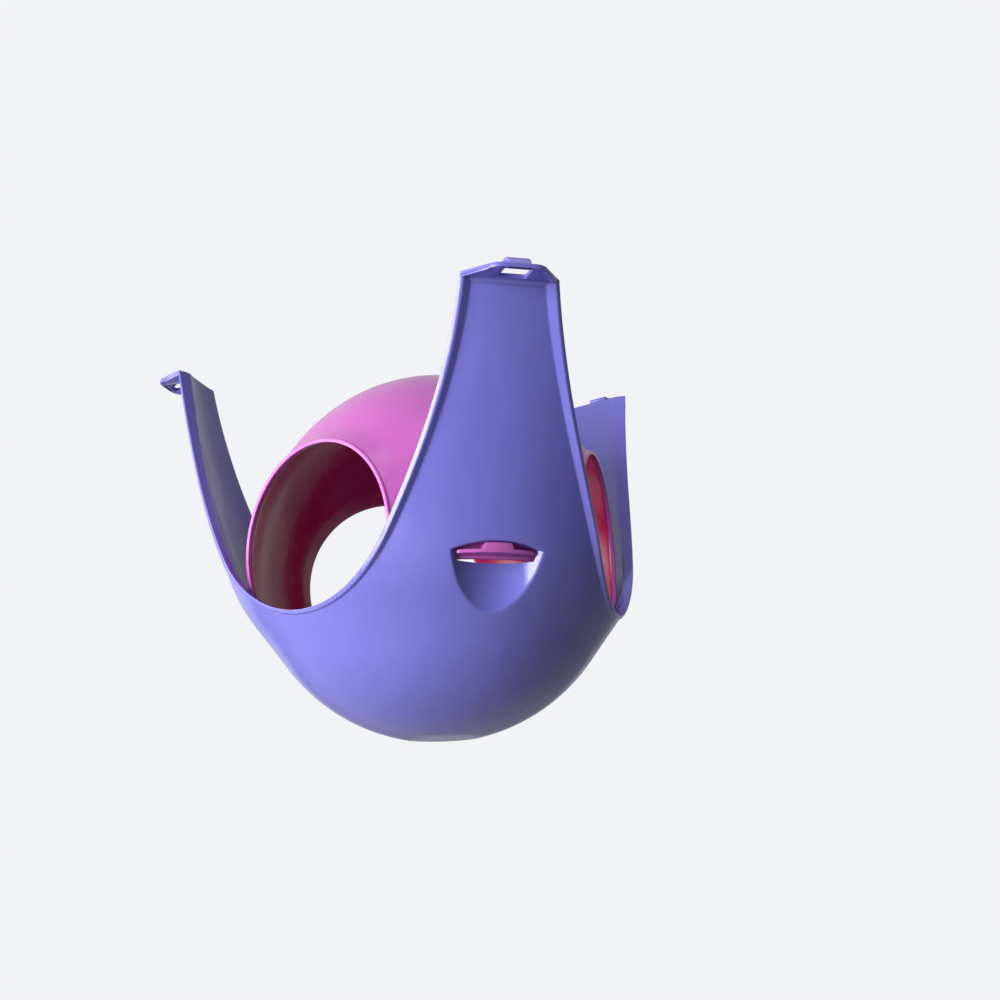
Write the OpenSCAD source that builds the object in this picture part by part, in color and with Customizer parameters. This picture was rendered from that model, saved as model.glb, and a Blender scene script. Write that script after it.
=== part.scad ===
// Hanging ball house for rats: a bowl with three arms that hook under a wire roof,
// and a domed roof with three round doorways that clips into it.
// The origin is the centre of the bowl's flat foot, +Z is up, and one arm points along -Y.

/* [Bowl] */
// Outer radius of the round bowl
bowl_r = 95; // [90:0.5:100]
// Wall thickness of the bowl and its arms
wall = 2.5; // [2:0.1:3]
// Radius of the flat foot under the bowl
foot_r = 19.5; // [15:0.5:25]

/* [Arms] */
// Height of the arm tips above the foot
arm_h = 198; // [185:1:210]
// Height at which the bowl stops being a ball and runs on up into the arms
arm_z = 37; // [34:0.5:40]
// Height at which the arms begin to turn upright
flare_z = 58; // [56:0.5:60]
// Height of the top of the shoulder, where the arms turn upright
shoulder_z = 86; // [82:1:92]
// Lean of the arms from the vertical below the shoulder, in degrees
lean_flare = 37.3; // [36.5:0.1:39]
// Lean at the top of the shoulder, in degrees
lean_shoulder = 16.5; // [14:0.5:20]
// Lean at the tips, in degrees
lean_tip = 9; // [6:0.5:12]

/* [Openings between the arms] */
// Height of the lowest point of each opening
open_z = 56.3; // [54:0.1:59]
// Radius of the round bottom of each opening
open_r = 69; // [66:0.5:71]
// Angle at which the round bottom gives way to the long sides, in degrees
open_sweep = 57; // [55:1:59]
// Radius of the long curved sides
side_r = 310; // [290:5:340]
// Height of the raised rim along the edges of the arms
rim_h = 2.4; // [1.5:0.1:3.2]
// Height of the raised rim at the bottom of the openings
rim_low = 0.7; // [0.4:0.1:1.4]
// Thickness of the raised rim
rim_t = 1.9; // [1.6:0.1:2.8]

/* [Arm tips] */
// How far the tip plate reaches out from the arm
tip_reach = 16.7; // [15:0.1:20]
// Width of the tip plate at its outer end
tip_w = 22; // [19:0.5:25]
// Length over which the plate's outer corners are rounded
tip_round = 4; // [2:0.5:4.5]
// How far the plate's inner corners stand in from the rims' outer corners, across
corner_in = 0.5; // [0.3:0.1:1]
// The same, along the arm's direction
corner_back = 0.3; // [0.1:0.1:1]
// Thickness of the tip plate
tip_t = 2.2; // [1.8:0.1:2.8]
// Depth of the stiffening skirt under the slanted edges of the plate
skirt_h = 1; // [0.6:0.1:2]
// Width of the hook
hook_w = 11; // [8:0.5:12.5]
// Gap under the hook for a cage wire
hook_gap = 2.4; // [2:0.1:3.2]
// Thickness of the hook
hook_t = 2; // [1.6:0.1:2.6]
// Length of the straight end of the hook
hook_reach = 6; // [4:0.5:7]
// Strip of the plate that is left between the slot and the hook
slot_in = 1; // [0.6:0.1:2]
// Width of the slot under the hook
slot_w = 13.3; // [13:0.1:15]
// Length of the slot under the hook
slot_l = 11.2; // [9:0.1:11.5]

/* [Finger scoops and clip windows] */
// Radius of the scoop
scoop_r = 31; // [28:0.5:33]
// Height of the scoop's lowest point
scoop_z = 49; // [46:0.5:52]
// Lean of the scoop's floor, in degrees
scoop_tilt = 10.5; // [9:0.5:13]
// Thickness of the scoop's wall
scoop_wall = 2.2; // [1.8:0.1:2.6]
// Height of the scoop's inner rim
scoop_top = 71.5; // [70:0.1:72.5]
// Height of the middle of the window above the scoop
window_top = 79.4; // [78.8:0.1:81]
// Radius of the window's arched top
window_r = 65; // [55:1:80]

/* [Dome] */
// Height of the widest part of the egg-shaped dome above the foot
dome_z = 80; // [76:0.5:84]
// Height of the dome's top above the foot
dome_top = 185.5; // [178:0.5:190]
// Wall thickness of the dome
dome_wall = 2.2; // [1.8:0.1:2.6]
// Height at which the dome's legs stand in the bowl
seat_z = 66.4; // [65:0.1:68]
// Radius of the round doorways
door_r = 49; // [44:0.5:51]
// Height of the doorways' centres above the foot
door_z = 88.7; // [86:0.1:92]
// Distance of the doorway's flat edge from the axis
door_d = 84.2; // [82:0.1:86]
// Thickness of the doorway's collar
collar_t = 2; // [1.6:0.1:2.5]
// Height of the collar's lip above the hood behind it
lip_h = 1.5; // [1:0.1:2]
// Flare of the hood that runs back from the collar into the dome, in degrees
hood_flare = 39.4; // [37:0.2:40]
// Length of the hood along the doorway's direction
hood_l = 20; // [18:0.5:22]

/* [Clip tabs] */
// Height of the tab's underside
tab_z = 74; // [73.5:0.1:74.4]
// Thickness of the tab
tab_t = 1.8; // [1.4:0.1:2]
// How far the tab reaches past the arm's outer face
tab_reach = 1.6; // [1:0.1:3]
// Radius of the tab's front edge
tab_r = 40; // [32:1:60]
// Width of the catch on the tab at its foot
catch_w = 16; // [12:0.5:20]
// Width of the catch at its top
catch_top_w = 13; // [9:0.5:16]

/* [Clearances] */
// Gap between the dome's feet and what they stand on
seat_gap = 0.3; // [0.2:0.05:0.5]
// Gap round the tab in its window
tab_gap = 0.8; // [0.5:0.1:1.2]
// Gap between the doorway collars and the arms
collar_gap = 0.6; // [0.5:0.1:1]

/* [Hidden] */
$fn = 96;
arms = 3;
pitch = 360 / arms;
base_colour = "#8a86dc";
dome_colour = "#e07dda";
bowl_steps = 10;
flare_steps = 3;
shoulder_steps = 6;
arm_steps = 6;
bottom_steps = 10;
side_steps = 8;
dome_steps = 20;
far = 2 * bowl_r;

// The meridian of the outer face is four arcs that meet without a corner. Each arc is
// [centre radius, centre height, arc radius], and turns from one lean to the next.
foot_lift = sqrt(pow(bowl_r, 2) - pow(foot_r, 2));
lean_bowl = asin((foot_lift - arm_z) / bowl_r);
bowl_arc = [0, foot_lift, bowl_r];

// Arc through [r, z] that turns from lean a to lean b over the height h
function arc_r(h, a, b) = h / (sin(a) - sin(b));
function next_arc(r, z, h, a, b) = [r - arc_r(h, a, b) * cos(a), z + arc_r(h, a, b) * sin(a), arc_r(h, a, b)];
// Radius of the face on an arc at height z, for a face that lies g outside the outer one
function on_arc(arc, z, g) =
    arc[0] + sign(arc[2]) * sqrt(max(0, pow(arc[2] + g, 2) - pow(z - arc[1], 2)));

flare_arc = next_arc(on_arc(bowl_arc, arm_z, 0), arm_z, flare_z - arm_z, lean_bowl, lean_flare);
shoulder_arc = next_arc(on_arc(flare_arc, flare_z, 0), flare_z, shoulder_z - flare_z, lean_flare, lean_shoulder);
arm_arc = next_arc(on_arc(shoulder_arc, shoulder_z, 0), shoulder_z, arm_h - shoulder_z, lean_shoulder, lean_tip);

// Radius of the body at height z, for a face that lies g outside the outer one
function body_r(z, g = 0) =
    z < arm_z ? on_arc(bowl_arc, z, g) :
    z < flare_z ? on_arc(flare_arc, z, g) :
    z < shoulder_z ? on_arc(shoulder_arc, z, g) :
    on_arc(arm_arc, z, g);

// Heights that follow the curve between z0 and z1
function spread(z0, z1, n) = [for (i = [1 : n]) z0 + (z1 - z0) * i / n];
function bowl_heights(z0) =
    let (a0 = asin((foot_lift - z0) / bowl_r))
    [for (i = [0 : bowl_steps]) foot_lift - bowl_r * sin(a0 + (lean_bowl - a0) * i / bowl_steps)];
arm_heights = concat(spread(arm_z, flare_z, flare_steps), spread(flare_z, shoulder_z, shoulder_steps),
    spread(shoulder_z, arm_h, arm_steps));

tip_r = body_r(arm_h);
// Reach of the tips, from the axis to the outer end of the plates
tip_end = tip_r + tip_reach;

// How far the rim stands out from the outer face at height z
function rim_out(z) = rim_low + (rim_h - rim_low) * min(1, max(0, (z - flare_z) / (shoulder_z - flare_z)));

module at_arms() for (i = [0 : arms - 1]) rotate(pitch * i) children();
module at_openings() for (i = [0 : arms - 1]) rotate(pitch * (i + 0.5)) children();

// Outline of an opening in its own plane, grown by g, up to just above the arm tips
open_top = arm_h + 1;
open_centre = open_z + open_r;
side_start = [open_r * sin(open_sweep), open_centre - open_r * cos(open_sweep)];
side_centre = side_start + side_r * [-sin(open_sweep), cos(open_sweep)];
function side_end(g) = acos((side_centre[1] - open_top) / (side_r + g));
function half_outline(g) = concat(
    [for (i = [0 : bottom_steps]) let (a = open_sweep * i / bottom_steps)
        [(open_r + g) * sin(a), open_centre - (open_r + g) * cos(a)]],
    [for (i = [1 : side_steps]) let (a = open_sweep + (side_end(g) - open_sweep) * i / side_steps)
        side_centre + (side_r + g) * [sin(a), -cos(a)]]);
module opening_outline(g) {
    half = half_outline(g);
    polygon(concat(half, [for (i = [len(half) - 1 : -1 : 1]) [-half[i][0], half[i][1]]]));
}
module opening_tool(g) rotate([90, 0, 0]) linear_extrude(far) opening_outline(g);

// Half the width of an opening at the height of the tips
open_half = side_centre[0] + sqrt(pow(side_r, 2) - pow(side_centre[1] - arm_h, 2));
// Where the plane of an opening's edge meets a circle about the axis, seen from the arm: [across, out]
function edge_at(r) = let (a = pitch / 2 - asin(open_half / r)) r * [sin(a), cos(a)];

// Bowl and arms before the openings are cut
module body_shell() {
    inside = concat([for (z = bowl_heights(wall)) if (z > wall) z], arm_heights);
    outside = concat(bowl_heights(0), arm_heights);
    rotate_extrude() polygon(concat(
        [[0, 0]],
        [for (z = outside) [body_r(z), z]],
        [for (i = [len(inside) - 1 : -1 : 0]) [body_r(inside[i], -wall), inside[i]]],
        [[body_r(wall, -wall), wall], [0, wall]]));
}

// The rim stands on the outer face all round each opening
module rims() intersection() {
    rotate_extrude() polygon(concat(
        [for (z = arm_heights) [body_r(z, rim_out(z)), z]],
        [for (i = [len(arm_heights) - 1 : -1 : 0]) [body_r(arm_heights[i], -wall / 2), arm_heights[i]]]));
    at_openings() opening_tool(rim_t);
}

// Plate at the tip of the arm, with a skirt under its slanted edges
plate_corner = edge_at(tip_r + rim_h) - [corner_in, corner_back];
plate_root = edge_at(tip_r - wall);
module mirrored() {
    children();
    mirror([1, 0, 0]) children();
}
module tip_plate() {
    end = [tip_w / 2, tip_end];
    along = (end - plate_corner) / norm(end - plate_corner);
    inward = rim_t * [-along[1], along[0]];
    bend = end - tip_round * along;
    rounded = [for (t = [0 : 0.25 : 1]) pow(1 - t, 2) * bend + 2 * t * (1 - t) * end
        + pow(t, 2) * (end - [tip_round, 0])];
    half = concat([plate_root, plate_corner], rounded);
    difference() {
        union() {
            translate([0, 0, arm_h - tip_t]) linear_extrude(tip_t) polygon(concat(
                [for (p = half) [p[0], -p[1]]],
                [for (i = [len(half) - 1 : -1 : 0]) [-half[i][0], -half[i][1]]]));
            mirrored() translate([0, 0, arm_h - tip_t - skirt_h]) linear_extrude(skirt_h + tip_t / 2)
                polygon([for (p = [plate_corner, bend, bend + inward, plate_corner + inward]) [p[0], -p[1]]]);
        }
        translate([0, 0, arm_h / 2]) cylinder(r = tip_r - wall / 2, h = arm_h);
    }
}

// Hook that curls up and back over the slot, with room for a wire under it
hook_in = tip_t + hook_gap;
hook_out = hook_in + hook_t;
module hook() {
    translate([hook_w / 2, -(tip_end - hook_out), arm_h - tip_t]) rotate([90, 0, -90]) linear_extrude(hook_w) {
        intersection() {
            difference() {
                circle(r = hook_out);
                circle(r = hook_in);
            }
            square(hook_out);
        }
        translate([-hook_reach, hook_in]) square([hook_reach + 0.01, hook_t]);
    }
}
module slot_tool() translate([-slot_w / 2, -(tip_end - hook_t - slot_in), arm_h - tip_t - skirt_h])
    cube([slot_w, slot_l, tip_t + skirt_h + hook_gap / 6]);

// Round tool of the finger scoop, leaning out as it rises
module scoop_tool(g) translate([0, -body_r(scoop_z), scoop_z]) rotate([scoop_tilt, 0, 0])
    translate([0, -scoop_r, -1.3 * scoop_r]) cylinder(r = scoop_r + g, h = 4 * scoop_r);
module below(z) translate([-far, -far, z - far]) cube([2 * far, 2 * far, far]);

// Inner wall of the scoop, a pocket in the bowl that is open at the top
module scoop_pocket() intersection() {
    rotate_extrude() polygon(concat([[0, arm_z / 2]],
        [for (z = [arm_z / 2 : 4 : scoop_top + 4]) [body_r(z, -wall / 2), z]], [[0, scoop_top + 4]]));
    scoop_tool(scoop_wall);
    below(scoop_top);
}
// The scoop's hollow, which runs on upwards as the clip window with an arched top
module scoop_cut() intersection() {
    scoop_tool(0);
    translate([0, 0, window_top - window_r]) rotate([90, 0, 0]) cylinder(r = window_r, h = far);
}

module base() color(base_colour) difference() {
    union() {
        difference() {
            union() {
                body_shell();
                rims();
            }
            at_openings() opening_tool(0);
        }
        at_arms() {
            tip_plate();
            hook();
            scoop_pocket();
        }
    }
    at_arms() {
        scoop_cut();
        slot_tool();
    }
}

// The dome's radius is what lets its feet stand just inside the bowl at the seat
dome_h = dome_top - dome_z;
dome_r = (body_r(seat_z, -wall) - seat_gap) / sqrt(1 - pow((seat_z - dome_z) / dome_h, 2));

// Points up the dome, from below its feet to its top, on a face that lies g outside the outer one
dome_start = asin((seat_z - 5 * dome_wall - dome_z) / dome_h);
function dome_side(g) = [for (i = [0 : dome_steps]) let (a = dome_start + (90 - dome_start) * i / dome_steps)
    [i < dome_steps ? (dome_r + g) * cos(a) : 0, dome_z + (dome_h + g) * sin(a)]];
module dome_body(g) {
    side = dome_side(g);
    rotate_extrude() polygon(concat([[0, side[0][1]]], side));
}
module doorway(r, d) translate([0, 0, door_z]) rotate([90, 0, 0]) cylinder(r = r, h = d);

// Hood behind a collar, a cone that flares back into the dome, on a face that lies g outside the outer one.
// Its hollow stops a wall short of its back end, so the two stay joined wherever the doorway stands.
module hood(g) {
    lip_r = door_r + collar_t + g / cos(hood_flare);
    translate([0, lip_h - door_d, door_z]) rotate([-90, 0, 0])
        cylinder(r1 = lip_r, r2 = lip_r + (hood_l + g) * tan(hood_flare), h = hood_l + g);
}

// Room between the arms for what stands out of the dome, on a face that lies g outside the outer one
module clear_of_arms(g) {
    trim = spread(seat_z - 2 * dome_wall, shoulder_z + 6 * dome_wall, 12);
    rotate_extrude() polygon(concat([[0, trim[0]]],
        [for (z = trim) [body_r(z, -wall) - collar_gap + g, z]],
        [[far, trim[len(trim) - 1] + 1], [far, arm_h], [0, arm_h]]));
}

// Collars and hoods round the doorways, trimmed where they would meet the arms
module collars() intersection() {
    at_openings() {
        doorway(door_r + collar_t, door_d);
        hood(0);
    }
    clear_of_arms(0);
}
module hollows() intersection() {
    at_openings() hood(-dome_wall);
    clear_of_arms(-dome_wall);
}

// Tab that passes out through the window, with a catch that snaps under the window's top edge
tab_front = body_r(tab_z) + tab_reach;
module tab_plan(h) translate([0, -(tab_front - tab_r), tab_z]) cylinder(r = tab_r, h = h);
module clip_tab() {
    catch_top = window_top - window_r * (1 - cos(asin(catch_top_w / 2 / window_r))) - seat_gap;
    difference() {
        union() {
            intersection() {
                tab_plan(tab_t);
                scoop_tool(-tab_gap);
            }
            intersection() {
                tab_plan(catch_top - tab_z);
                translate([0, -body_r(tab_z) / 2, 0]) rotate([90, 0, 0]) linear_extrude(far) polygon([
                    [-catch_w / 2, tab_z + tab_t / 2], [catch_w / 2, tab_z + tab_t / 2],
                    [catch_top_w / 2, catch_top], [-catch_top_w / 2, catch_top]]);
            }
        }
        dome_body(-dome_wall / 2);
    }
}

// Room in each leg for the scoop's pocket, and for a finger under the tab
module leg_notch() {
    intersection() {
        scoop_tool(scoop_wall + seat_gap);
        below(scoop_top + seat_gap);
    }
    intersection() {
        scoop_tool(0);
        below(tab_z);
    }
}

module dome() color(dome_colour) difference() {
    union() {
        difference() {
            union() {
                dome_body(0);
                collars();
            }
            dome_body(-dome_wall);
            hollows();
        }
        at_arms() clip_tab();
    }
    at_openings() doorway(door_r, far);
    at_arms() leg_notch();
    below(seat_z);
}

base();
dome();
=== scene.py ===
# %% [markdown]
# A hanging house: a round bowl with three tall arms, and a domed roof that snaps into it. Both are
# injection mouldings with walls about 2.5 mm thick. The sizes are those of the CAD model, and this lesson
# rebuilds the two mouldings as smooth meshes with rounded rims, so that gloss runs cleanly over them.
# Lengths of the shapes are in millimetres and are turned to metres when a mesh is made.

# %% Load the frame
import math
import bmesh
import bpy
import numpy as np
from mathutils import Matrix, Vector


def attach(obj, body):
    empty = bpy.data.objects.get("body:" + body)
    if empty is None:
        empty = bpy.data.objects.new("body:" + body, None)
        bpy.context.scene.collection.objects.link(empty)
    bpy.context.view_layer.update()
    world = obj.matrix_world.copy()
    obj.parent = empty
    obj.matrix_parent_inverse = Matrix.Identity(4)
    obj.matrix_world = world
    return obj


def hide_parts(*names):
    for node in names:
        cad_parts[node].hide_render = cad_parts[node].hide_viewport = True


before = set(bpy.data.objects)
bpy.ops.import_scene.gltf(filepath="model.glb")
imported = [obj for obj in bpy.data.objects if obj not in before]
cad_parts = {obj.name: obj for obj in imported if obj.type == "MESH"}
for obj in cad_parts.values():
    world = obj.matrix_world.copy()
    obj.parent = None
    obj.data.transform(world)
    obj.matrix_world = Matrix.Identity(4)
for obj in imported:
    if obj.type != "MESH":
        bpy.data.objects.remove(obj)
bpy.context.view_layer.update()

# %% [markdown]
# The outer face of the bowl and arms is one curve turned about the upright axis: a ball, a short flare,
# a shoulder and a long, nearly straight arm. The four arcs meet without a corner. Writing the curve as a
# function of height lets every later step ask for the exact radius, also for a face that lies a wall's
# thickness further in, which is what keeps the reflections smooth.

# %% The curve of the bowl and arms
BOWL_R, WALL, FOOT_R = 95.0, 2.5, 19.5
ARM_H, ARM_Z, FLARE_Z, SHOULDER_Z = 198.0, 37.0, 58.0, 86.0
LEANS = [math.radians(v) for v in (37.3, 16.5, 9.0)]
FOOT_LIFT = math.sqrt(BOWL_R**2 - FOOT_R**2)


def next_arc(r, z, h, a, b):
    """The arc through (r, z) that turns from lean a to lean b over the height h."""
    k = h / (math.sin(a) - math.sin(b))
    return (r - k * math.cos(a), z + k * math.sin(a), k)


def on_arc(arc, z, g):
    return arc[0] + math.copysign(1, arc[2]) * np.sqrt(np.maximum(0, (arc[2] + g) ** 2 - (z - arc[1]) ** 2))


arcs = [(0.0, FOOT_LIFT, BOWL_R)]
lean, low = math.asin((FOOT_LIFT - ARM_Z) / BOWL_R), ARM_Z
for new_lean, high in zip(LEANS, (FLARE_Z, SHOULDER_Z, ARM_H)):
    arcs.append(next_arc(float(on_arc(arcs[-1], low, 0)), low, high - low, lean, new_lean))
    lean, low = new_lean, high


def body_r(z, g=0.0):
    """Radius of the bowl and arms at height z, on a face that lies g outside the outer one."""
    z = np.asarray(z, float)
    at = [on_arc(a, z, g) for a in arcs]
    return np.select([z < ARM_Z, z < FLARE_Z, z < SHOULDER_Z], at[:3], at[3])


print("radius at foot, shoulder and tip", body_r([0, SHOULDER_Z, ARM_H]).round(1))

# %% [markdown]
# A moulding like this has one shape, repeated: half an arm, mirrored, then turned three times. So only
# the half is worked out here. It is made of grids of points, and this small collector keeps them, joins
# their edges where they touch, mirrors the half and returns a mesh.

# %% A collector for grids of points
MERGE = 1.5e-5  # metres within which two points are one


def unit(v):
    return v / np.maximum(np.linalg.norm(v, axis=-1, keepdims=True), 1e-9)


class Patches:
    """Grids of points that together make one closed skin."""

    def __init__(self):
        self.points, self.faces, self.inside, self.count = [], [], [], 0

    def grid(self, p, inner=0.0, skip=None):
        """Adds a grid of points. Inner is 1 on faces that look into the house, which get painted shade and
        glow.
        """
        rows, cols = p.shape[:2]
        self.points.append(p.reshape(-1, 3))
        self.inside.append(np.broadcast_to(inner, (rows, cols)).ravel())
        for j in range(rows - 1):
            for i in range(cols - 1):
                if skip is None or not skip(j, i):
                    k = self.count + j * cols + i
                    self.faces.append((k, k + 1, k + cols + 1, k + cols))
        self.count += rows * cols

    def lid(self, p):
        """Adds one face through all the points, where a line of the grid closes on itself."""
        self.points.append(p)
        self.inside.append(np.zeros(len(p)))
        self.faces.append(tuple(range(self.count, self.count + len(p))))
        self.count += len(p)

    def mesh(self, name):
        """The patches and their mirror image across x = 0, as a mesh in metres."""
        p, inner = np.vstack(self.points), np.concatenate(self.inside)
        n = len(p)
        p = np.vstack([p, p * [-1, 1, 1]])
        inner = np.concatenate([inner, inner])
        faces = self.faces + [tuple(k + n for k in reversed(f)) for f in self.faces]
        me = bpy.data.meshes.new(name)
        me.from_pydata((p * 0.001).tolist(), [], faces)
        me.attributes.new("inside", "FLOAT", "POINT").data.foreach_set("value", inner)
        bm = bmesh.new()
        bm.from_mesh(me)
        bmesh.ops.remove_doubles(bm, verts=bm.verts, dist=MERGE)
        bmesh.ops.dissolve_degenerate(bm, edges=bm.edges, dist=MERGE / 7.5)
        bm.to_mesh(me)
        bm.free()
        return me


# %% [markdown]
# Each opening between two arms is cut straight through along its own direction, like a cookie cutter:
# a round bottom and two long curved sides. Its raised rim stands along the same direction. A point of
# the rim is given by how far it lies from the cut (e) and how far outside the outer face (g).

# %% The openings and their rims
OPEN_Z, OPEN_R, SWEEP, SIDE_R = 56.3, 69.0, math.radians(57), 310.0
RIM_H, RIM_LOW, RIM_T, RIM_BULGE, REACH = 2.4, 0.7, 1.9, 0.7, 6.0
TALLER, TALLER_Z = 0.5, 145.0  # how much taller the rim grows towards the tip, and where that begins
BEVEL = 0.4
TOP = ARM_H - BEVEL
OPEN_C = OPEN_Z + OPEN_R
SIDE_C = (
    OPEN_R * math.sin(SWEEP) - SIDE_R * math.sin(SWEEP),
    OPEN_C - OPEN_R * math.cos(SWEEP) + SIDE_R * math.cos(SWEEP),
)
SIXTY = math.radians(60)


def edge_curve(e, bottom, side):
    """Across and height of the cut's edge moved out by e, from its lowest point to the arm's tip."""
    a = SWEEP * np.linspace(0, 1, bottom + 1)
    end = math.acos((SIDE_C[1] - TOP) / (SIDE_R + e))
    b = SWEEP + (end - SWEEP) * np.linspace(0, 1, side + 1)[1:]
    x = np.concatenate([(OPEN_R + e) * np.sin(a), SIDE_C[0] + (SIDE_R + e) * np.sin(b)])
    z = np.concatenate([OPEN_C - (OPEN_R + e) * np.cos(a), SIDE_C[1] - (SIDE_R + e) * np.cos(b)])
    return x, z


def from_opening(x, depth, z):
    """A point given across, along and above an opening's direction, 60 degrees round from the arm."""
    c, s = math.cos(SIXTY), math.sin(SIXTY)
    return np.stack([depth * s - x * c, -depth * c - x * s, z], -1)


def rim_out(z):
    return RIM_LOW + (RIM_H - RIM_LOW) * np.clip((z - FLARE_Z) / (SHOULDER_Z - FLARE_Z), 0, 1)


def round_corner(a, corner, b, n=4):
    """Points from a to b that round off a corner."""
    t = np.linspace(0, 1, n + 1)[:, None]
    curve = (1 - t) ** 2 * np.array(a) + 2 * t * (1 - t) * np.array(corner) + t**2 * np.array(b)
    return [tuple(v) for v in curve]


def rim_section(z):
    """The rim's section at height z as (g, e) pairs, from the outer face over the rim to the inner one.

    Its top slopes away from the arm's face, so that it mirrors a light that stands to the side.
    """
    h = float(rim_out(z) + np.interp(z, (TALLER_Z, ARM_H), (0, TALLER)))
    f, q, drop = min(0.35, 0.3 * h), min(0.4, 0.3 * h), min(1.0, 0.35 * h)
    full = RIM_BULGE * float(np.interp(h, (RIM_LOW, RIM_H), (0, 1)))
    pts = [(0, REACH), (0, 4.0), (0, RIM_T + 0.9)]
    pts += round_corner((0, RIM_T + 0.15 + f), (0, RIM_T + 0.15), (f, RIM_T + 0.12))
    pts += round_corner((h - q, RIM_T), (h - 0.02, RIM_T), (h - 0.1 * drop, RIM_T - 0.5), 5)
    pts += [(h - 0.45 * drop, (RIM_T - full) / 2)]
    pts += round_corner((h - 0.85 * drop, 0.5 - full), (h - drop, -full), (h - 1.6 * drop, -full), 6)
    pts += [(h / 2 - 1.2, -0.5 * full)]
    pts += round_corner((0.8 - WALL, 0), (-WALL, 0), (-WALL, 0.8))
    return pts + [(-WALL, 2.4), (-WALL, REACH)]


BOTTOM, SIDE = 30, 60
sections = np.array([rim_section(z) for z in edge_curve(0, BOTTOM, SIDE)[1]])


def rim_line(g, e):
    """A line along the rim, where both its values change from point to point."""
    x, z = np.array([[v[j] for v in edge_curve(float(e[j]), BOTTOM, SIDE)] for j in range(len(e))]).T
    return from_opening(x, np.sqrt(body_r(z, g) ** 2 - x**2), z)


rim = np.array([rim_line(*sections[:, k].T) for k in range(sections.shape[1])])
base_half = Patches()
base_half.grid(rim, (sections[:, :, 0].T < 0.1 - WALL).astype(float))
base_half.lid(rim[:, -1])
print("rim section points", len(rim), "along the edge", rim.shape[1])

# %% [markdown]
# The wall itself is two sheets, outer and inner, between the middle of the arm and the rim. Rows of
# points run from the middle to the edge. Under the opening they run level, and above it they slope down
# to meet the edge squarely, so the mesh has no crowded corner.

# %% Rows of the wall
COLS, FLOOR_ROWS, BOWL_ROWS, FLARE_ROWS = 30, 4, 22, 8


def sheet_rows(g):
    """Azimuth and height of the rows on a face g outside the outer one, and the flat floor's radii."""
    start = 0.0 if g == 0 else WALL
    floor = np.linspace(0, float(body_r(start, g)), FLOOR_ROWS + 1)[:-1]
    zb = OPEN_Z - REACH
    a0 = math.acos((FOOT_LIFT - start) / (BOWL_R + g))
    a1 = math.acos((FOOT_LIFT - ARM_Z) / (BOWL_R + g))
    bowl = FOOT_LIFT - (BOWL_R + g) * np.cos(np.linspace(a0, a1, BOWL_ROWS))
    below = np.concatenate([bowl, np.linspace(ARM_Z, zb, FLARE_ROWS)[1:]])
    x, z = edge_curve(REACH, BOTTOM, SIDE)
    s = np.concatenate([[0], np.cumsum(np.hypot(np.diff(x), np.diff(z)))])
    middle = zb + (TOP - zb) * s / s[-1]
    edge = SIXTY - np.arcsin(x / body_r(z, g))
    z_mid = np.concatenate([below, middle[1:]])
    z_edge = np.concatenate([below, z[1:]])
    a_edge = np.concatenate([np.full(len(below), SIXTY), edge[1:]])
    return floor, z_mid, z_edge, a_edge, start


def on_face(x, z, g):
    """The point of the face at that distance across from the arm's middle, and that height."""
    return np.stack([x, -np.sqrt(body_r(z, g) ** 2 - x**2), z + 0 * x], -1)


def wall_sheet(g):
    floor, z_mid, z_edge, a_edge, start = sheet_rows(g)
    u = np.linspace(0, 1, COLS + 1)
    z = z_mid[:, None] + (z_edge - z_mid)[:, None] * u**2
    a = a_edge[:, None] * u
    r = body_r(z, g)
    p = np.stack([r * np.sin(a), -r * np.cos(a), z], -1)
    ff, aa = np.meshgrid(floor, SIXTY * u, indexing="ij")
    disc = np.stack([ff * np.sin(aa), -ff * np.cos(aa), 0 * ff + start], -1)
    return p, np.concatenate([disc, p[:1]])


outer, foot = wall_sheet(0.0)
inner, floor = wall_sheet(-WALL)
print("rows and columns of the outer sheet", outer.shape[:2])

# %% [markdown]
# On each arm a finger scoop leads up to a window, where the roof's tab clips in. The scoop is a round
# tool pushed into the wall, leaning out as it rises, and the window above it has an arched top. The
# hole's edge is found by meeting the tool with the wall, then the wall's grid is opened and a ring of
# faces leads from the grid to the hole.

# %% The scoop tool and the edge of the hole
SCOOP_R, SCOOP_Z, TILT = 31.0, 49.0, math.radians(10.5)
SCOOP_WALL, SCOOP_TOP, WINDOW_TOP, WINDOW_R = 2.2, 71.5, 79.4, 65.0
BELOW, LEDGE, BESIDE, OVER = 36, 2, 6, 16  # steps along the hole's edge, from its lowest point to its top


def scoop_depth(x, z, g=0.0):
    """Distance from the axis to the scoop's floor, for a tool that is g larger."""
    centre = float(body_r(SCOOP_Z)) + (z - SCOOP_Z) * math.tan(TILT) + SCOOP_R / math.cos(TILT)
    return centre - np.sqrt(np.maximum((SCOOP_R + g) ** 2 - x**2, 0)) / math.cos(TILT)


def half_width(z, face, g=0.0):
    """How far across the tool cuts a face of the wall at height z."""
    lo, hi = 0.0, SCOOP_R - 1.0
    for _ in range(50):
        mid = (lo + hi) / 2
        inside = scoop_depth(mid, z, g) < math.sqrt(float(body_r(z, face)) ** 2 - mid**2)
        lo, hi = (mid, hi) if inside else (lo, mid)
    return lo


def lowest(face, g):
    lo, hi = SCOOP_Z - 5, SCOOP_Z + 8
    for _ in range(50):
        mid = (lo + hi) / 2
        lo, hi = (mid, hi) if scoop_depth(0.0, mid, g) > float(body_r(mid, face)) else (lo, mid)
    return hi


def arch(x):
    return WINDOW_TOP - WINDOW_R + np.sqrt(WINDOW_R**2 - np.asarray(x, float) ** 2)


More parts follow.
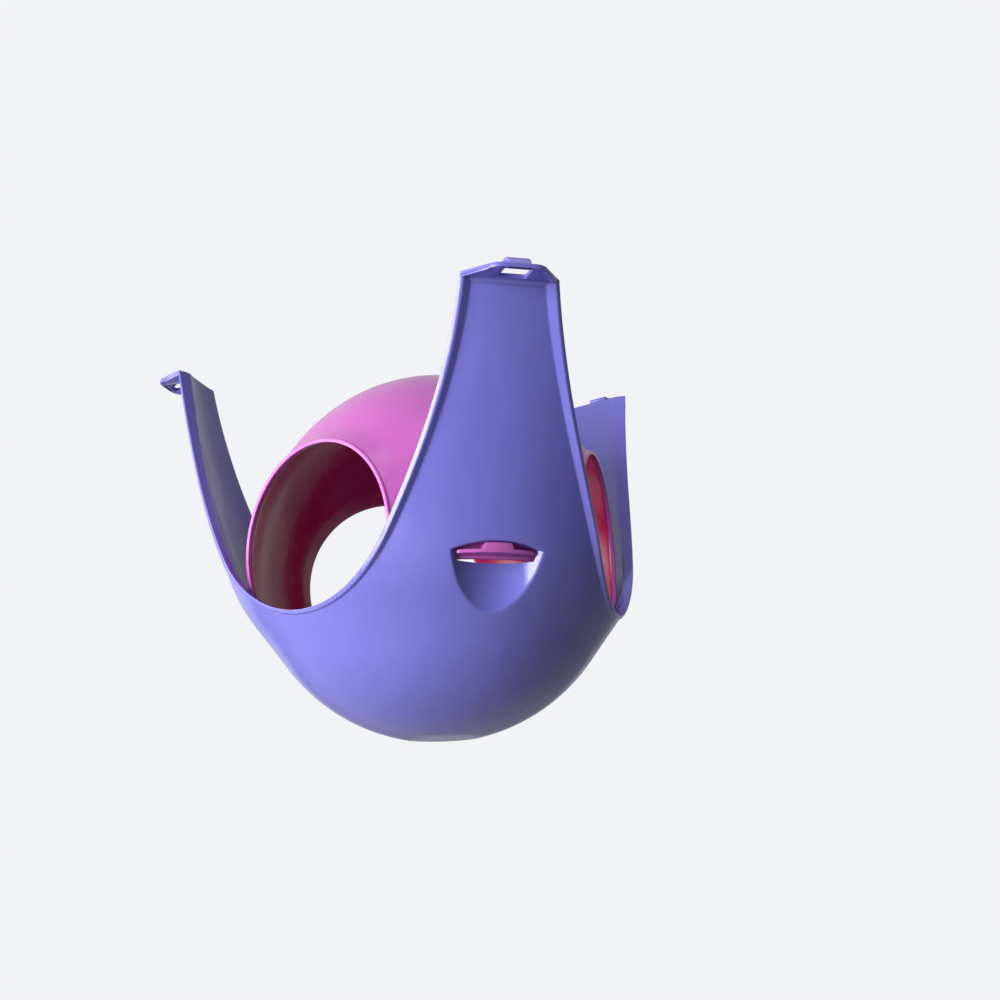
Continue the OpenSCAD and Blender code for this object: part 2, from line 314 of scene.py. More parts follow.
def hole_edge(face, g, ledge):
    """Across and height of the hole's edge on a face, from its lowest point round to the arch's top."""
    z0 = lowest(face, g)
    z = z0 + (SCOOP_TOP - z0) * np.linspace(0, 1, BELOW + 1) ** 2
    x = [0.0] + [half_width(v, face, g) for v in z[1:]]
    top = SCOOP_TOP
    for _ in range(40):
        top = float(arch(half_width(top, face)))
    zs = np.linspace(SCOOP_TOP, top, BESIDE + 1)
    xs = [half_width(v, face) for v in zs]
    pts = list(zip(x, z))
    for i in range(1, ledge):
        pts.append((x[-1] + (xs[0] - x[-1]) * i / ledge, SCOOP_TOP))
    pts += list(zip(xs, zs))[0 if ledge else 1 :]
    pts += [(v, float(arch(v))) for v in np.linspace(xs[-1], 0, OVER + 1)[1:]]
    return np.array(pts)


hole_out = hole_edge(0.0, 0.0, 0)
hole_in = hole_edge(-WALL, SCOOP_WALL, LEDGE)
print("hole corner", hole_out[BELOW + BESIDE].round(1))
print("lowest points outside and inside", hole_out[0].round(1), hole_in[0].round(1))

# %% Open the grid and lead it to the hole
FILLET = 0.9
BLOCK_LOW, BLOCK_HIGH = 44.0, 84.5  # heights between which the wall's grid is opened


def outwards(pts):
    """Directions across and up that point away from the hole, along its edge."""
    t = np.gradient(pts, axis=0)
    n = unit(np.stack([t[:, 1], -t[:, 0]], -1))
    n[0], n[-1] = (0, -1), (0, 1)
    return n


def ring(sheet, hole, face, i_end, into, inner=0.0, layers=8):
    j0 = int(np.searchsorted(sheet[:, 0, 2], BLOCK_LOW))
    j1 = int(np.searchsorted(sheet[:, 0, 2], BLOCK_HIGH))
    while 2 * i_end + j1 - j0 + 1 != len(hole):
        j1 += 1 if 2 * i_end + j1 - j0 + 1 < len(hole) else -1
    block = [sheet[j0, i] for i in range(i_end)] + [sheet[j, i_end] for j in range(j0, j1)]
    block = np.array(block + [sheet[j1, i] for i in range(i_end, -1, -1)])[:, [0, 2]]
    t = np.linspace(0, 1, layers + 1)[:, None, None]
    way = hole + (block - hole) * t
    p = on_face(way[..., 0], way[..., 1], face)
    p[-1] = on_face(block[:, 0], block[:, 1], face)
    into.grid(p, inner)
    into.grid(sheet, inner, skip=lambda j, i: j0 <= j < j1 and i < i_end)


hole_rim = hole_out + FILLET * outwards(hole_out)
ring(outer, hole_rim, 0.0, 18, base_half)
ring(inner, hole_in, -WALL, 19, base_half, 1.0)
base_half.grid(foot)
base_half.grid(floor, 1.0)

# %% The scoop's floor, the window's sides and the pocket's back
edge_out = on_face(hole_out[:, 0], hole_out[:, 1], 0.0)
edge_in = on_face(hole_in[:, 0], hole_in[:, 1], -WALL)
scooped = BELOW + 1  # points of the edge that lie on the scoop
share = np.linspace(0, 1, scooped)
goal = np.stack([hole_in[BELOW + LEDGE, 0] * share, np.full(scooped, SCOOP_TOP)], -1)
steps = np.concatenate([[0.0], np.linspace(0.06, 1, 14)])
cut = []
for k in range(scooped):
    way = hole_out[k] + (goal[k] - hole_out[k]) * steps[:, None]
    cut.append(np.stack([way[:, 0], -scoop_depth(way[:, 0], way[:, 1]), way[:, 1]], -1))
for k in range(scooped, len(hole_out)):
    cut.append(edge_out[k] + (edge_in[k + LEDGE] - edge_out[k]) * steps[:, None])
cut = np.array(cut)
cut[BELOW, -1] = edge_in[BELOW + LEDGE]
cut[:, 0] = edge_out
first = unit(cut[:, 1] - cut[:, 0]) * FILLET
beside = on_face(*hole_rim.T, 0.0)
length = np.linalg.norm(cut[:, -1] - cut[:, 0], axis=1)
for k in range(len(cut)):
    fractions = np.linspace(FILLET / length[k], 1, len(steps))[1:]
    line = [[np.interp(f, steps, cut[k, :, c]) for c in range(3)] for f in fractions]
    cut[k] = np.array([edge_out[k] + first[k]] + line)
cut[:scooped, 1:, 1] = -scoop_depth(cut[:scooped, 1:, 0], cut[:scooped, 1:, 2])
t = np.linspace(0, 1, 5)[None, :, None]
turn = (1 - t) ** 2 * beside[:, None] + 2 * t * (1 - t) * edge_out[:, None] + t**2 * cut[:, :1]
base_half.grid(turn)
base_half.grid(cut)
back_top = np.stack([hole_in[BELOW, 0] * share, np.full(scooped, SCOOP_TOP)], -1)
t = np.linspace(0, 1, 11)[None, :, None]
way = hole_in[:scooped, None] + (back_top - hole_in[:scooped])[:, None] * t
base_half.grid(np.stack([way[..., 0], -scoop_depth(way[..., 0], way[..., 1], SCOOP_WALL), way[..., 1]], -1))
ledge_in = cut[:scooped, -1]
ledge_depth = scoop_depth(back_top[:, 0], SCOOP_TOP, SCOOP_WALL)
ledge_out = np.stack([back_top[:, 0], -ledge_depth, back_top[:, 1]], -1)
ledge_out[BELOW] = edge_in[BELOW]
t = np.linspace(0, 1, 3)[None, :, None]
base_half.grid(ledge_in[:, None] + (ledge_out - ledge_in)[:, None] * t)
base_half.grid(np.stack([outer[-1], inner[-1]]))
print("arm sector:", base_half.count, "points before its edges are joined")

# %% [markdown]
# At its tip each arm ends in a level plate with a slot, two short skirts under its slanted edges and a
# hook that curls back over the plate. The house hangs by the throat between hook and plate. These are
# small solids, lofted through a few outlines each, and then their sharp edges are bevelled.

# %% Small solids with bevelled edges
SHARP = 0.45  # radians between two faces from which their edge is bevelled


def bevelled(bm, width):
    bmesh.ops.recalc_face_normals(bm, faces=bm.faces)
    sharp = [e for e in bm.edges if width and len(e.link_faces) == 2 and e.calc_face_angle() > SHARP]
    bmesh.ops.bevel(
        bm, geom=sharp, offset=width * 0.001, segments=3, profile=0.5, affect="EDGES", clamp_overlap=True
    )
    me = bpy.data.meshes.new("solid")
    bm.to_mesh(me)
    bm.free()
    return me


def loft(rings, width=BEVEL):
    """A closed solid through outlines that all have the same number of points."""
    bm = bmesh.new()
    made = [[bm.verts.new(np.array(v) * 0.001) for v in ring] for ring in rings]
    bm.faces.new(made[0])
    bm.faces.new(made[-1])
    for a, b in zip(made, made[1:]):
        for i in range(len(a)):
            bm.faces.new([a[i - 1], a[i], b[i], b[i - 1]])
    return bevelled(bm, width)


def flat(pts, z):
    """Points given across and out along the arm, as points in space at one height."""
    return [(x, -d, z) for x, d in pts]


def plate_with_slot(outline, slot, z0, z1):
    bm = bmesh.new()
    rings = [flat(pts, z) for pts in (outline, slot) for z in (z0, z1)]
    r = [[bm.verts.new(np.array(v) * 0.001) for v in ring] for ring in rings]
    n = len(outline)
    for a, b in ((0, 1), (1, 3), (3, 2), (2, 0)):
        for i in range(n):
            bm.faces.new([r[a][i], r[a][(i + 1) % n], r[b][(i + 1) % n], r[b][i]])
    return bevelled(bm, BEVEL)


TIP_W, TIP_T, TIP_ROUND, SKIRT_H = 22.0, 2.2, 4.0, 1.0
HOOK_W, HOOK_GAP, HOOK_T, HOOK_REACH = 11.0, 2.4, 2.0, 6.0
SLOT_W, SLOT_L, SLOT_IN, SLOT_ROUND, TIP_REACH = 13.3, 11.2, 1.0, 0.7, 16.7
CORNER_IN, CORNER_BACK = 0.5, 0.3
tip_r = float(body_r(ARM_H))
tip_end = tip_r + TIP_REACH
half_open = SIDE_C[0] + math.sqrt(SIDE_R**2 - (SIDE_C[1] - ARM_H) ** 2)


def edge_at(r):
    a = SIXTY - math.asin(half_open / r)
    return np.array([r * math.sin(a), r * math.cos(a)])


corner, root = edge_at(tip_r + RIM_H) - [CORNER_IN, CORNER_BACK], edge_at(tip_r - WALL / 2)
end = np.array([TIP_W / 2, tip_end])
along = unit(end - corner)
bend = end - TIP_ROUND * along
outline = [tuple(root), tuple(corner)] + round_corner(bend, end, end - [TIP_ROUND, 0])
s1, sx = tip_end - HOOK_T - SLOT_IN, SLOT_W / 2
s0 = s1 - SLOT_L
slot = [(sx, s0), (sx, (s0 + s1) / 2)] + round_corner((sx, s1 - SLOT_ROUND), (sx, s1), (sx - SLOT_ROUND, s1))
outline, slot = ([(-x, d) for x, d in half] + half[::-1] for half in (outline, slot))
tip_parts = [plate_with_slot(outline, slot, ARM_H - TIP_T, ARM_H)]
inward = RIM_T * np.array([-along[1], along[0]])
for s in (1, -1):
    skirt = []
    for v, short in ((0.3, 3.0), (1.2, 0.6), (1.6, 0.0)):
        far = bend - short * along
        skirt.append([(s * x, d) for x, d in (corner, far, far + v * inward, corner + v * inward)])
    levels = (ARM_H - TIP_T - 0.5 * SKIRT_H, ARM_H - TIP_T - 0.1, ARM_H - TIP_T / 2)
    tip_parts.append(loft([flat(v, z) for v, z in zip(skirt, levels)], 0.3))

# A hollow fillet leads from the arm's face into the underside of the plate.
WEB, WEB_SIDE, z1 = 2.6, 19, ARM_H - TIP_T
webs = []
for x in np.linspace(-WEB_SIDE, WEB_SIDE, 15):
    d = math.sqrt(float(body_r(z1 - WEB)) ** 2 - x**2)
    curve = round_corner((d - 0.02, z1 - WEB), (d + 0.4, z1 - 0.02), (d + WEB, z1 - 0.02), 6)
    sunk = [(d + WEB, z1 + 0.4), (d - 0.8, z1 + 0.4), (d - 0.8, z1 - WEB)]
    webs.append([(x, -v, z) for v, z in curve + sunk])
tip_parts.append(loft(webs, 0))
hook_in, hook_out = TIP_T + HOOK_GAP, TIP_T + HOOK_GAP + HOOK_T
turns = [math.pi / 2 * i / 10 for i in range(11)]
hd, hz = tip_end - hook_out, ARM_H - TIP_T
section = [(hd + hook_out * math.cos(b), hz + hook_out * math.sin(b)) for b in turns]
section += [(hd - HOOK_REACH, hz + hook_out), (hd - HOOK_REACH, hz + hook_in)]
section += [(hd + hook_in * math.cos(b), hz + hook_in * math.sin(b)) for b in reversed(turns)]
tip_parts.append(loft([[(x, -d, z) for d, z in section] for x in (-HOOK_W / 2, HOOK_W / 2)]))
print("tip plate from", round(tip_r, 1), "to", round(tip_end, 1), "half width", round(corner[0], 1))

# %% [markdown]
# The roof is an egg-shaped dome. Its three round doorways are cut along the same directions as the
# openings. Round each doorway a short hood flares back into the dome like a funnel, and its mouth ends in
# a thin upright lip. The face of the whole roof is then one function of direction and height: the larger
# of dome and hood, blended where they come within 1.6 mm, so that the crease between them is soft.

# %% The dome's curve with its hoods
DOME_Z, DOME_TOP, DOME_WALL, SEAT_Z, SEAT_GAP = 80.0, 185.5, 2.2, 66.4, 0.3
DOOR_R, DOOR_Z, DOOR_D, LIP_T, LIP_H, ARM_GAP, DOOR_REACH = 49.0, 88.7, 84.2, 2.0, 1.5, 0.6, 5.0
HOOD_FLARE, HOOD_L = math.radians(39.4), 20.0
DOME_H = DOME_TOP - DOME_Z
DOME_R = (float(body_r(SEAT_Z, -WALL)) - SEAT_GAP) / math.sqrt(1 - ((SEAT_Z - DOME_Z) / DOME_H) ** 2)
MOUTH = DOOR_D - LIP_H


def dome_r(z, g=0.0):
    q = 1 - ((np.asarray(z, float) - DOME_Z) / (DOME_H + g)) ** 2
    return (DOME_R + g) * np.sqrt(np.maximum(q, 0))


def hood_r(a, z, g):
    """How far out the hood's cone lies in the direction a from the leg's middle, or 0 where it ends."""
    k = math.tan(HOOD_FLARE)
    c, s, h = np.cos(SIXTY - a), np.sin(SIXTY - a), z - DOOR_Z
    m = DOOR_R + LIP_T + g / math.cos(HOOD_FLARE) + MOUTH * k
    rest = np.maximum(m**2 - h**2, 0)
    r = rest / (m * c * k + np.sqrt(np.maximum((m * c * k) ** 2 - (c**2 * k**2 - s**2) * rest, 0)))
    r = np.minimum(r, body_r(np.maximum(z, SEAT_Z), -WALL) - ARM_GAP + g)
    return np.where(r * c < MOUTH - HOOD_L, 0, r)


def roof_r(a, z, g):
    plain, hood = dome_r(z, g), hood_r(a, z, g)
    blend = 1.6 * np.clip((z - SEAT_Z) / 10, 0.12, 1)
    near = np.maximum(blend - np.abs(plain - hood), 0)
    return np.maximum(plain, hood) + near**2 / (4 * blend)


def roof_depth(xz, g):
    """Distance along the doorway's direction at which the roof's face is met, found by halving."""
    x, z = xz
    lo, hi = np.full(len(x), 25.0), np.full(len(x), 100.0)
    for _ in range(40):
        mid = (lo + hi) / 2
        out = np.hypot(x, mid) > roof_r(SIXTY - np.arctan2(x, mid), z, g)
        lo, hi = np.where(out, lo, mid), np.where(out, mid, hi)
    return hi


def door_edge(e, n=72):
    """Across and height of the doorway's edge moved out by e, from its top to the leg's foot."""
    e = np.broadcast_to(np.asarray(e, float), (n + 1,))
    t = np.linspace(0, 1, n + 1) * (math.pi - np.arccos((DOOR_Z - SEAT_Z) / (DOOR_R + e)))
    return np.stack([(DOOR_R + e) * np.sin(t), DOOR_Z + (DOOR_R + e) * np.cos(t)])


print("dome radius", round(DOME_R, 2), "hood over the doorway", roof_depth(door_edge(LIP_T), 0)[0].round(1))

# %% The doorway's lip, as a loop of lines round its edge
out_of = door_edge(LIP_T)
clear = np.sqrt((body_r(np.maximum(out_of[1], SEAT_Z), -WALL) - ARM_GAP) ** 2 - out_of[0] ** 2)
face = roof_depth(out_of, 0)
lip = np.maximum(np.minimum(DOOR_D, clear), face + 0.2)
k, q = np.minimum(0.5, 0.3 * (lip - face)), np.minimum(0.6, 0.35 * (lip - face))
one = np.ones(len(face))


def at_e(e, g=0.0):
    return (e * one, roof_depth(door_edge(e), g))


def curl(a, corner, b, n=4):
    """Points that round off a corner, where each is (moved out, depth) along the whole edge."""
    curve = []
    for s in np.linspace(0, 1, n + 1):
        curve.append(tuple((1 - s) ** 2 * a[i] + 2 * s * (1 - s) * corner[i] + s**2 * b[i] for i in (0, 1)))
    return curve


under = at_e(0.0, -DOME_WALL)[1]
loop = [at_e(DOOR_REACH), at_e(LIP_T + 1.4)]
loop += curl(at_e(LIP_T + k), (LIP_T * one, face), (LIP_T * one, face + k))
loop += curl((LIP_T * one, lip - q), (LIP_T * one, lip), (LIP_T - 0.6 * one, lip))
loop += curl((0.6 * one, lip), (0 * one, lip), (0 * one, lip - q))
outside = len(loop)
loop += curl((0 * one, np.minimum(under + 0.5, lip - q - 0.05)), (0 * one, under), at_e(0.5, -DOME_WALL))
loop += [at_e(DOOR_REACH, -DOME_WALL)]
collar = np.array([from_opening(door_edge(e)[0], depth, door_edge(e)[1]) for e, depth in loop])
dome_half = Patches()
dome_half.grid(collar, np.clip(np.arange(len(loop)) - outside, 0, 1)[:, None].astype(float))
dome_half.lid(collar[:, -1])

# %% The dome's wall, with a notch in each leg for the scoop
# Across from the leg's middle, and the height of the leg's lower edge there.
NOTCH = ((0, 72.6), (15.2, 72.6), (19.4, 71.9), (20.3, 69.5), (20.6, SEAT_Z), (60, SEAT_Z))
LIFTED_TO = 92  # height up to which the grid's rows rise with the notch


def dome_sheet(g, up=44, cols=46):
    xz = door_edge(DOOR_REACH)
    top = xz[1][0]
    low = math.asin((top - DOME_Z) / (DOME_H + g))
    z_up = DOME_Z + (DOME_H + g) * np.sin(np.linspace(math.pi / 2, low, up))
    z_edge = np.concatenate([z_up, xz[1][1:]])
    beside = SIXTY - np.arctan2(xz[0], roof_depth(xz, g))
    a_edge = np.concatenate([np.full(up, SIXTY), beside[1:]])
    s = np.concatenate([[0], np.cumsum(np.hypot(np.diff(xz[0]), np.diff(xz[1])))])
    z_mid = np.concatenate([z_up, (0.5 * (top + (SEAT_Z - top) * s / s[-1]) + 0.5 * xz[1])[1:]])
    u = np.linspace(0, 1, cols)
    z = z_mid[:, None] + (z_edge - z_mid)[:, None] * u**2
    az = a_edge[:, None] * u
    lift = np.interp(dome_r(SEAT_Z, g) * np.sin(az), *zip(*NOTCH)) - SEAT_Z
    z = z + lift * np.clip((LIFTED_TO - z) / (LIFTED_TO - SEAT_Z), 0, 1) ** 2
    r = roof_r(az, z, g)
    r[0] = 0
    return np.stack([r * np.sin(az), -r * np.cos(az), z], -1)


roof, ceiling = dome_sheet(0.0), dome_sheet(-DOME_WALL)
dome_half.grid(roof)
dome_half.grid(ceiling, 1.0)
dome_half.grid(np.stack([roof[-1], ceiling[-1]]))
print("dome sector:", dome_half.count, "points, lip stands out", (lip - face).max().round(2), "at most")

# %% The clip tabs: a shelf in the window and a catch above it
TAB_Z, TAB_T, TAB_REACH, TAB_R, TAB_GAP, CATCH_W, CATCH_TOP_W = 74.0, 1.8, 1.6, 40.0, 0.8, 16.0, 13.0
TAB_SIDE, TAB_BACK = 19.0, 94.2  # half its width, and how far out its back lies in the leg's wall
front = float(body_r(TAB_Z)) + TAB_REACH


def nose(w, n):
    """The tab's rounded front between -w and w."""
    return [(x, front - TAB_R + math.sqrt(TAB_R**2 - x**2)) for x in np.linspace(-w, w, n)]


backs = []
for x in np.linspace(TAB_SIDE, 14.6, 7):
    backs.append((x, float(scoop_depth(np.array(x), TAB_Z + TAB_T / 2, -TAB_GAP))))
shelf = nose(TAB_SIDE, 33) + backs + [(14.0, TAB_BACK), (-14.0, TAB_BACK)]
shelf += [(-x, d) for x, d in reversed(backs)]
catch_top = float(arch(CATCH_TOP_W / 2)) - SEAT_GAP
rings = []
for w, z in ((CATCH_W / 2, TAB_Z + TAB_T / 2), (CATCH_TOP_W / 2, catch_top)):
    rings.append(flat(nose(w, 9) + [(w, TAB_BACK), (-w, TAB_BACK)], z))
clip_parts = [loft([flat(shelf, TAB_Z), flat(shelf, TAB_Z + TAB_T)], 0.5), loft(rings, 0.5)]

# %% [markdown]
# Geometry Nodes turns one third into the whole: the sector is placed on three points, each turned by a
# third of a circle, and the seams are merged.

# %% Turn one sector into three
SMOOTH = 0.6  # radians between two faces up to which their edge is shaded as smooth


def node(tree, kind, sockets=None, **settings):
    """Adds a node, sets its options, and fills or links its inputs."""
    n = tree.nodes.new(kind)
    for key, value in settings.items():
        setattr(n, key, value)
    for key, value in (sockets or {}).items():
        if isinstance(value, bpy.types.NodeSocket):
            tree.links.new(value, n.inputs[key])
        else:
            n.inputs[key].default_value = value
    return n


def maths(tree, operation, *values):
    """The result of one step of arithmetic in a node tree."""
    return node(tree, "ShaderNodeMath", dict(enumerate(values)), operation=operation).outputs[0]


def threefold_group():
    tree = bpy.data.node_groups.new("threefold", "GeometryNodeTree")
    face = tree.interface
    face.new_socket("Sector", in_out="INPUT", socket_type="NodeSocketGeometry")
    count = face.new_socket("Arms", in_out="INPUT", socket_type="NodeSocketInt")
    merge = face.new_socket("Merge distance", in_out="INPUT", socket_type="NodeSocketFloat")
    finish = face.new_socket("Material", in_out="INPUT", socket_type="NodeSocketMaterial")
    face.new_socket("Whole", in_out="OUTPUT", socket_type="NodeSocketGeometry")
    given = node(tree, "NodeGroupInput").outputs
    index = node(tree, "GeometryNodeInputIndex").outputs[0]
    angle = maths(tree, "MULTIPLY", index, maths(tree, "DIVIDE", 2 * math.pi, given["Arms"]))
    turn = node(tree, "ShaderNodeCombineXYZ", {"Z": angle}).outputs[0]
    points = node(tree, "GeometryNodePoints", {"Count": given["Arms"]}).outputs[0]
    copies = {"Points": points, "Instance": given["Sector"], "Rotation": turn}
    placed = node(tree, "GeometryNodeInstanceOnPoints", copies).outputs[0]
    real = node(tree, "GeometryNodeRealizeInstances", {"Geometry": placed}).outputs[0]
    near = {"Geometry": real, "Distance": given["Merge distance"]}
    joined = node(tree, "GeometryNodeMergeByDistance", near).outputs[0]
    coat = {"Geometry": joined, "Material": given["Material"]}
    dressed = node(tree, "GeometryNodeSetMaterial", coat).outputs[0]
    node(tree, "NodeGroupOutput", {"Whole": dressed})
    return tree, {socket.name: socket.identifier for socket in (count, merge, finish)}


THREEFOLD, SOCKET = threefold_group()


def whole(name, parts, material, replaced):
    """Joins the parts of one sector, turns it three times and dresses the finished piece."""
    bm = bmesh.new()
    for part in parts:
        bm.from_mesh(part)
    me = bpy.data.meshes.new(name)
    bm.to_mesh(me)
    bm.free()
    ob = bpy.data.objects.new(name, me)
    bpy.context.scene.collection.objects.link(ob)
    mod = ob.modifiers.new("threefold", "NODES")
    mod.node_group = THREEFOLD
    mod[SOCKET["Arms"]] = 3
    mod[SOCKET["Merge distance"]] = MERGE
    mod[SOCKET["Material"]] = material
    bpy.context.view_layer.update()
    done = bpy.data.meshes.new_from_object(ob.evaluated_get(bpy.context.evaluated_depsgraph_get()))
    ob.modifiers.clear()
    ob.data = done
    bm = bmesh.new()
    bm.from_mesh(done)
    bmesh.ops.recalc_face_normals(bm, faces=bm.faces)
    for e in bm.edges:
        e.smooth = len(e.link_faces) == 2 and e.calc_face_angle() < SMOOTH
    for f in bm.faces:
        f.smooth = True
    open_edges = sum(1 for e in bm.edges if len(e.link_faces) != 2)
    bm.to_mesh(done)
    bm.free()
    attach(ob, "root")
    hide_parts(replaced)
    size = [round(v * 1000, 1) for v in ob.dimensions]
    print(name, len(done.polygons), "faces, open edges", open_edges, "size", size)


# %% [markdown]
# Both mouldings are dyed polypropylene from a polished steel mould. Its dye flows up from the gate under
# the bowl, so the tint drifts a little in long upright streaks. Its skin is glossy but not optical: very
# low waves blur the reflections. Light passes a little into the thin walls, most of all red light into the
# pink. The faces that look into the house are painted a deeper colour as painted shade, and the pink's are
# a deep crimson with a painted glow, which stands in for light through the wall. The roof's crown also
# shows the mould's fine turning marks.

# %% Materials
def linear(code):
    """Turns an sRGB hex colour into the linear values that Blender works in."""
    c = [int(code[i : i + 2], 16) / 255 for i in (1, 3, 5)]
    return [v / 12.92 if v <= 0.04045 else ((v + 0.055) / 1.055) ** 2.4 for v in c] + [1.0]


def mixed(tree, factor, a, b):
    return node(tree, "ShaderNodeMix", {0: factor, 6: a, 7: b}, data_type="RGBA").outputs[2]


def ramp(tree, value, start, end, low, high, **settings):
    """Maps the range from start to end to the range from low to high."""
    limits = {0: value, 1: start, 2: end, 3: low, 4: high}
    return node(tree, "ShaderNodeMapRange", limits, **settings).outputs[0]


def spread(tree, noise, low, high):
    """Maps the middle of a noise softly to the range from low to high."""
    return ramp(tree, noise, 0.2, 0.8, low, high, interpolation_type="SMOOTHSTEP")


def moulded(name, tint, streak, painted_inner_shade, painted_glow, rough, glow, marks=0.0):
    mat = bpy.data.materials.new(name)
    mat.use_nodes = True
    tree = mat.node_tree
    bsdf = tree.nodes["Principled BSDF"]
    place = node(tree, "ShaderNodeTexCoord").outputs["Object"]
    upright = node(tree, "ShaderNodeMapping", {"Vector": place, "Scale": (1, 1, 0.3)}).outputs[0]
    streaks = {"Vector": upright, "Scale": 22, "Detail": 3, "Distortion": 0.8}
    flow = node(tree, "ShaderNodeTexNoise", streaks).outputs[0]
    skin = node(tree, "ShaderNodeTexNoise", {"Vector": place, "Scale": 45, "Detail": 2}).outputs[0]
    dye = mixed(tree, spread(tree, flow, 0.0, 1.0), linear(tint), linear(streak))
    # Faces that look into the house are painted a deeper colour: painted shade, and in the pink the colour of
    # its painted glow.
    painted_inner_mask = node(tree, "ShaderNodeAttribute", attribute_name="inside").outputs["Fac"]
    tree.links.new(mixed(tree, painted_inner_mask, dye, linear(painted_inner_shade)), bsdf.inputs["Base Color"])
    tree.links.new(spread(tree, skin, rough - 0.03, rough + 0.05), bsdf.inputs["Roughness"])
    height = maths(tree, "MULTIPLY", skin, 0.0006)
    if marks:
        turned = {"Vector": place, "Scale": 160, "Distortion": 0.5, "Detail": 1}
        rings = node(tree, "ShaderNodeTexWave", turned, wave_type="RINGS", rings_direction="Z").outputs["Fac"]
        level = node(tree, "ShaderNodeSeparateXYZ", {0: place}).outputs["Z"]
        height = maths(tree, "MULTIPLY_ADD", rings, ramp(tree, level, 0.150, 0.172, 0.0, marks), height)
    bump = node(tree, "ShaderNodeBump", {"Height": height, "Strength": 1.0, "Distance": 1.0}).outputs[0]
    tree.links.new(bump, bsdf.inputs["Normal"])
    # Painted glow: the inner faces emit their deeper colour, as if light came through the wall.
    tree.links.new(maths(tree, "MULTIPLY", painted_inner_mask, painted_glow), bsdf.inputs["Emission Strength"])
    bsdf.inputs["Emission Color"].default_value = linear(painted_inner_shade)
    bsdf.inputs["IOR"].default_value = 1.49
    bsdf.inputs["Subsurface Weight"].default_value = 0.2
    bsdf.inputs["Subsurface Radius"].default_value = glow
    bsdf.inputs["Subsurface Scale"].default_value = 0.0025
    return mat


# The third colour of each material is the painted shade on the faces inside the house.
purple = moulded(
    "gloss_polypropylene_lavender", tint="#625fb4", streak="#6562b7", painted_inner_shade="#5652a0",
    painted_glow=0.0, rough=0.2, glow=(0.5, 0.45, 1.0),
)
# The pink's inner faces also get a painted glow from emission, in their painted crimson shade.
pink = moulded(
    "gloss_polypropylene_pink", tint="#a14b99", streak="#a54f9c", painted_inner_shade="#980a44",
    painted_glow=0.11, rough=0.22, glow=(1.0, 0.2, 0.5), marks=0.00003,
)
whole("base_moulding", [base_half.mesh("arm_sector")] + tip_parts, purple, "base")
whole("dome_moulding", [dome_half.mesh("leg_sector")] + clip_parts, pink, "dome")

# %% [markdown]
# The photo was taken from below the house, tilted up and slightly rolled. The camera's place was found by
# fitting the part's own outline to the photo: its distance, how far it stands round the house, and the
# three angles of its tilt. The rest is a small shift of the lens.

# %% Camera
DIST, CAMERA_Z = 0.9206, -0.08845
ROUND, YAW, PITCH, ROLL = (math.radians(v) for v in (15.96, 2.33, 13.44, 2.0))
way = YAW + ROUND
look = Vector((math.sin(way) * math.cos(PITCH), math.cos(way) * math.cos(PITCH), math.sin(PITCH)))
right = Vector((math.cos(way), -math.sin(way), 0))
up = right.cross(look)
right, up = right * math.cos(ROLL) - up * math.sin(ROLL), up * math.cos(ROLL) + right * math.sin(ROLL)
lens = bpy.data.cameras.new("camera")
camera = bpy.data.objects.new("camera", lens)
bpy.context.scene.collection.objects.link(camera)
stand = Vector((-DIST * math.sin(ROUND), -DIST * math.cos(ROUND), CAMERA_Z))
camera.matrix_world = Matrix.Translation(stand) @ Matrix((right, up, -look)).transposed().to_4x4()
lens.sensor_width, lens.lens, lens.shift_x, lens.shift_y = 36.0, 65.88, -0.008, -0.020
bpy.context.scene.camera = camera
print("camera at", [round(v, 3) for v in stand], "looks along", [round(v, 3) for v in look])

# %% [markdown]
# The light comes from a large bright window at the left, level with the house. It leaves near-white lines
# along edges that turn to it and lets the right and the underside fall into a deeper tone. A weaker one
# far behind it edges the arms, and a faint lamp overhead lights what faces up. The room answers with a
# pale, weak light that is stronger at the left and from above. The floor sends little of it back, so the
# bowl's underside stays deep.

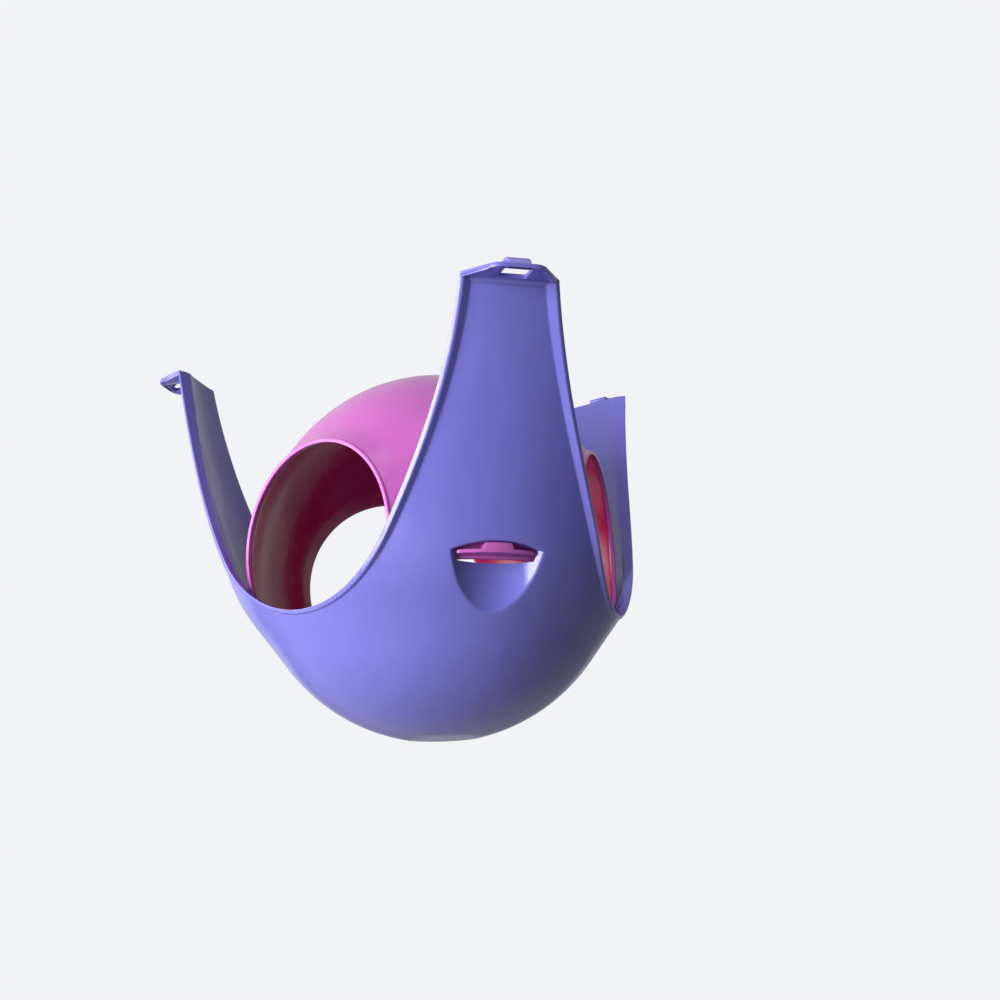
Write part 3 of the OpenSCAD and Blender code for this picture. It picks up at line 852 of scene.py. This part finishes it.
# %% Light and floor
scene = bpy.context.scene
scene.view_settings.view_transform = "Standard"
world = bpy.data.worlds.new("room")
scene.world = world
world.use_nodes = True
tree = world.node_tree
sky = node(tree, "ShaderNodeTexCoord").outputs["Generated"]
heading = node(tree, "ShaderNodeSeparateXYZ", {0: sky}).outputs
LEFT, RIGHT = -0.9, 0.6
across = ramp(tree, heading["X"], LEFT, RIGHT, 0.6, 0.05)
rise = ramp(tree, heading["Z"], -0.6, 0.8, 0.2, 1.4)
glow = maths(tree, "MULTIPLY", across, rise)
room = node(tree, "ShaderNodeBackground", {"Color": linear("#d9dcff"), "Strength": glow}).outputs[0]
ray = node(tree, "ShaderNodeLightPath").outputs
mirrored = ramp(tree, heading["X"], LEFT, RIGHT, 1.3, 0.55)
paleness = {0: ray["Is Camera Ray"], 2: mirrored, 3: 1.0}
white = node(tree, "ShaderNodeMix", paleness, data_type="FLOAT").outputs[0]
wall = node(tree, "ShaderNodeBackground", {"Color": linear("#f2f3f6"), "Strength": white}).outputs[0]
shown = maths(tree, "MAXIMUM", ray["Is Camera Ray"], ray["Is Transmission Ray"])
shown = maths(tree, "MAXIMUM", shown, ray["Is Glossy Ray"])
both = node(tree, "ShaderNodeMixShader", {0: shown, 1: room, 2: wall}).outputs[0]
tree.links.new(both, tree.nodes["World Output"].inputs["Surface"])


def lamp(name, place, size, watts, colour):
    data = bpy.data.lights.new(name, "AREA")
    data.shape, data.size, data.size_y, data.energy, data.color = "RECTANGLE", size[0], size[1], watts, colour
    ob = bpy.data.objects.new(name, data)
    ob.location = place
    ob.rotation_euler = (Vector((0, 0, 0.09)) - Vector(place)).to_track_quat("-Z", "Y").to_euler()
    scene.collection.objects.link(ob)


lamp("window", (-1.16, -0.66, 0.08), (0.9, 0.9), 40, (1, 1, 0.92))
lamp("far_window", (-1.2, 0.5, 0.1), (0.6, 1.0), 10, (1, 1, 1))
lamp("ceiling", (0.25, -0.5, 1.35), (1.0, 1.0), 4.5, (1, 1, 1))

FLOOR_Z, FLOOR_HALF = -0.32, 3.0
bm = bmesh.new()
bmesh.ops.create_grid(bm, x_segments=1, y_segments=1, size=FLOOR_HALF)
me = bpy.data.meshes.new("floor")
bm.to_mesh(me)
bm.free()
floor_ob = bpy.data.objects.new("floor", me)
floor_ob.location = (0, 0, FLOOR_Z)
scene.collection.objects.link(floor_ob)
paint = bpy.data.materials.new("pale_floor")
paint.use_nodes = True
tree = paint.node_tree
bounce = node(tree, "ShaderNodeLightPath").outputs["Is Diffuse Ray"]
tone = mixed(tree, bounce, linear("#e8e6e2"), linear("#5c5c66"))
tree.links.new(tone, tree.nodes["Principled BSDF"].inputs["Base Color"])
tree.nodes["Principled BSDF"].inputs["Roughness"].default_value = 0.8
me.materials.append(paint)
